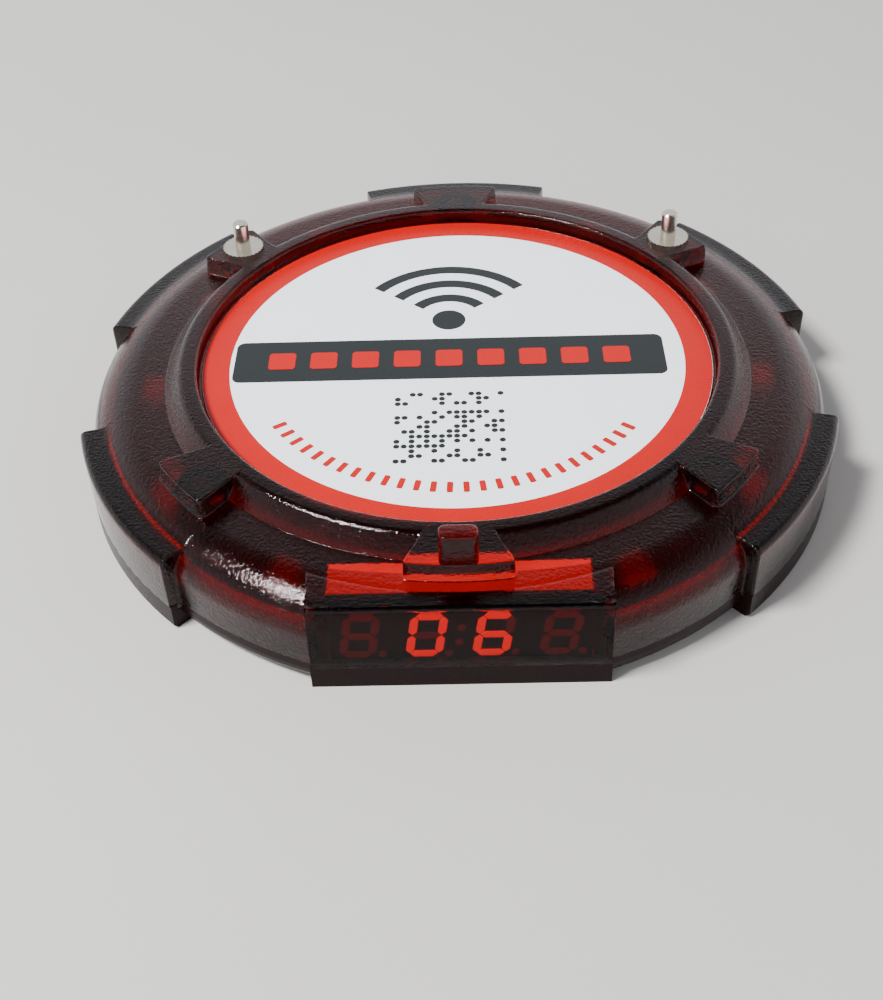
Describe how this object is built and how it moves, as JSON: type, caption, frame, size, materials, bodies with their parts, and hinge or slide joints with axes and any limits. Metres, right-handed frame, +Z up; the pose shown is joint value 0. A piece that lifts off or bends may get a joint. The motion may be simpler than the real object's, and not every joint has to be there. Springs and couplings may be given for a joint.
{
  "type": "guest pager",
  "caption": "Round flat guest pager with a smoked translucent case, raised rim and stacking pads, a numeric display at the front, charging pins with toothed washers and a round label.",
  "frame": {"origin": "on the round body's axis, in the plane of the flat underside it stands on", "axes": "+Z up through the label, -Y out of the display window, +X to the display's right as it is read"},
  "size_m": [0.0982, 0.0967, 0.0197],
  "materials": {
    "smoked_red_polycarbonate": "gloss, translucent, fine moulded grain",
    "dark_polycarbonate": "satin gloss",
    "printed_vinyl": "satin print",
    "zinc_plated_steel": "plated",
    "nickel_plate": "bright plate",
    "contact_brass": "satin",
    "gold_plated_brass": "bright plate",
    "spring_steel": "drawn wire",
    "red_display_plastic": "satin",
    "black_display_face": "printed matte",
    "lit_segments": "lit resin",
    "dark_segments": "unlit resin",
    "circuit_board": "solder mask",
    "blue_circuit_board": "solder mask",
    "red_led_resin": "clear resin",
    "battery_foil": "satin foil",
    "foam_tape": "foam",
    "nickel_strip": "rolled",
    "motor_steel": "drawn",
    "sintered_weight": "sintered",
    "cradle_rubber": "moulded",
    "black_buzzer_plastic": "moulded",
    "chip_epoxy": "moulded epoxy",
    "tin_plate": "plated sheet",
    "copper_wire": "enamelled wire",
    "capacitor_aluminium": "satin can"
  },
  "bodies": {
    "case": {"top_shell": "smoked_red_polycarbonate", "label_disc": "printed_vinyl", "bottom_cover": "dark_polycarbonate", "case_screws": "zinc_plated_steel", "charge_pin_left": "nickel_plate", "charge_pin_right": "nickel_plate", "pin_washers": "nickel_plate", "terminal_straps": "contact_brass", "contact_barrels": "gold_plated_brass", "contact_spring_left": "spring_steel", "contact_spring_right": "spring_steel", "display_body": "red_display_plastic", "display_face": "black_display_face", "digits_lit": "lit_segments", "digits_dark": "dark_segments", "display_board": "circuit_board", "display_pins": "contact_brass", "main_board": "circuit_board", "board_screws": "zinc_plated_steel", "alert_leds": "red_led_resin", "battery_cell": "battery_foil", "battery_tape": "foam_tape", "battery_tabs": "nickel_strip", "motor_can": "motor_steel", "motor_cradle": "cradle_rubber", "buzzer": "black_buzzer_plastic", "controller_chip": "chip_epoxy", "radio_board": "blue_circuit_board", "radio_shield": "tin_plate", "crystal_can": "tin_plate", "antenna_coil": "copper_wire", "reservoir_capacitor": "capacitor_aluminium"},
    "rotor": {"motor_shaft": "motor_steel", "motor_weight": "sintered_weight"},
    "contact_left": {"contact_plunger_left": "gold_plated_brass"},
    "contact_right": {"contact_plunger_right": "gold_plated_brass"}
  },
  "joints": [
    {"name": "vibration_rotor", "type": "hinge", "parent": "case", "child": "rotor", "pos_m": [-0.025, 0.002, 0.006], "axis": [0, 1, 0], "continuous": true},
    {"name": "contact_left_travel", "type": "slide", "parent": "case", "child": "contact_left", "axis": [0, 0, 1], "range_m": [0, 0.0016], "stiffness_N_per_m": 150, "springref_m": -0.002, "deforming": ["contact_spring_left"]},
    {"name": "contact_right_travel", "type": "slide", "parent": "case", "child": "contact_right", "axis": [0, 0, 1], "range_m": [0, 0.0016], "stiffness_N_per_m": 150, "springref_m": -0.002, "deforming": ["contact_spring_right"]}
  ]
}
